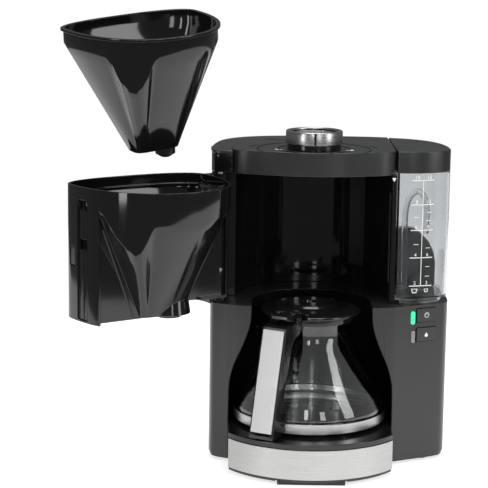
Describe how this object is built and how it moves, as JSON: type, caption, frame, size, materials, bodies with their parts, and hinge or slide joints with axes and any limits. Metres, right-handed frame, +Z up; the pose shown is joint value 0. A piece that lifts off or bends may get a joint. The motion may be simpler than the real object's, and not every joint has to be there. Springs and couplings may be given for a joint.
{
  "type": "drip coffee maker",
  "caption": "Drip filter coffee maker with a swing-out filter carrier and lift-out filter insert, clear lift-out water tank, aroma knob and a glass jug on a hot plate.",
  "frame": {"origin": "on the standing surface at the middle of the front foot", "axes": "+Z up, -Y towards the user (the side the jug slides out of), +X towards the water tank; the knob, the jug and the hot plate share the vertical axis 93.5 mm behind the origin"},
  "size_m": [0.3884, 0.3117, 0.4671],
  "materials": {
    "gloss_black": "gloss",
    "satin_black": "satin",
    "steel": "satin",
    "bright_steel": "satin",
    "glass": "gloss",
    "clear_tank": "gloss",
    "rubber": "matte",
    "hose": "satin",
    "board": "satin",
    "aluminium": "satin",
    "copper": "satin",
    "led_green": "gloss",
    "led_off": "gloss",
    "white_plastic": "satin"
  },
  "bodies": {
    "machine": {"base_tray": "satin_black", "foot_front": "rubber", "foot_1": "rubber", "foot_2": "rubber", "foot_3": "rubber", "foot_4": "rubber", "base_screw_1": "bright_steel", "base_screw_2": "bright_steel", "base_screw_3": "bright_steel", "base_screw_4": "bright_steel", "base_drum": "gloss_black", "steel_band": "steel", "hot_plate": "gloss_black", "plate_gasket": "rubber", "lower_housing": "satin_black", "jug_bay": "gloss_black", "light_guide_on": "led_green", "light_guide_descale": "led_off", "control_board": "board", "cord_gland": "rubber", "flow_heater": "aluminium", "heater_clamp": "bright_steel", "thermostat": "aluminium", "thermal_fuse": "copper", "water_hose": "hose", "check_valve": "white_plastic", "riser_tube": "hose", "column": "gloss_black", "catch_strip": "satin_black", "hinge_pin": "bright_steel", "wing_cap": "gloss_black", "rear_lid": "satin_black", "cap": "satin_black", "shower_plate": "gloss_black"},
    "knob": {"knob_ring": "steel", "knob_core": "gloss_black", "knob_spindle": "white_plastic", "aroma_disc": "white_plastic"},
    "carrier": {"carrier": "gloss_black", "carrier_latch": "satin_black"},
    "insert": {"filter_insert": "gloss_black"},
    "drip_stop": {"drip_valve": "gloss_black", "valve_spring": "bright_steel", "valve_seal": "rubber"},
    "tank": {"water_tank": "clear_tank", "tank_valve": "satin_black", "intake_tube": "clear_tank"},
    "tank_lid": {"tank_lid": "satin_black"},
    "jug": {"jug_glass": "glass", "jug_band": "steel", "jug_handle": "gloss_black", "handle_inlay": "steel", "lid_pin": "bright_steel"},
    "jug_lid": {"jug_lid": "gloss_black"},
    "on_button": {"button_on": "satin_black"},
    "descale_button": {"button_descale": "satin_black"}
  },
  "joints": [
    {"name": "knob_turn", "type": "hinge", "parent": "machine", "child": "knob", "pos_m": [0, 0.0935, 0.335], "axis": [0, 0, 1], "range_deg": [-60, 60]},
    {"name": "carrier_swing", "type": "hinge", "parent": "machine", "child": "carrier", "pos_m": [-0.0948, 0.0877, 0.235], "axis": [0, 0, 1], "range_deg": [0, 146.5]},
    {"name": "insert_lift", "type": "hinge", "parent": "machine", "child": "insert", "pos_m": [-0.34111, -0.99414, 0.14], "axis": [0.9829, -0.184, 0], "range_deg": [-8.98, 0]},
    {"name": "drip_stop_slide", "type": "slide", "parent": "insert", "child": "drip_stop", "axis": [-0.0287, -0.1534, 0.9877], "range_m": [0, 0.002], "stiffness_N_per_m": 250},
    {"name": "tank_lift", "type": "slide", "parent": "machine", "child": "tank", "axis": [0, 0, 1], "range_m": [0, 0.18]},
    {"name": "tank_lid_hinge", "type": "hinge", "parent": "tank", "child": "tank_lid", "pos_m": [0.1, 0.2055, 0.3028], "axis": [-1, 0, 0], "range_deg": [0, 80]},
    {"name": "on_button_press", "type": "slide", "parent": "machine", "child": "on_button", "axis": [-0.4384, 0.8988, 0], "range_m": [0, 0.0012], "stiffness_N_per_m": 400},
    {"name": "descale_button_press", "type": "slide", "parent": "machine", "child": "descale_button", "axis": [-0.4384, 0.8988, 0], "range_m": [0, 0.0012], "stiffness_N_per_m": 400},
    {"name": "jug_slide", "type": "slide", "parent": "machine", "child": "jug", "axis": [0, -1, 0], "range_m": [0, 0.2]},
    {"name": "jug_lid_hinge", "type": "hinge", "parent": "jug", "child": "jug_lid", "pos_m": [-0.02443, 0.04942, 0.158], "axis": [0.8746, -0.4848, 0], "range_deg": [0, 60]}
  ]
}
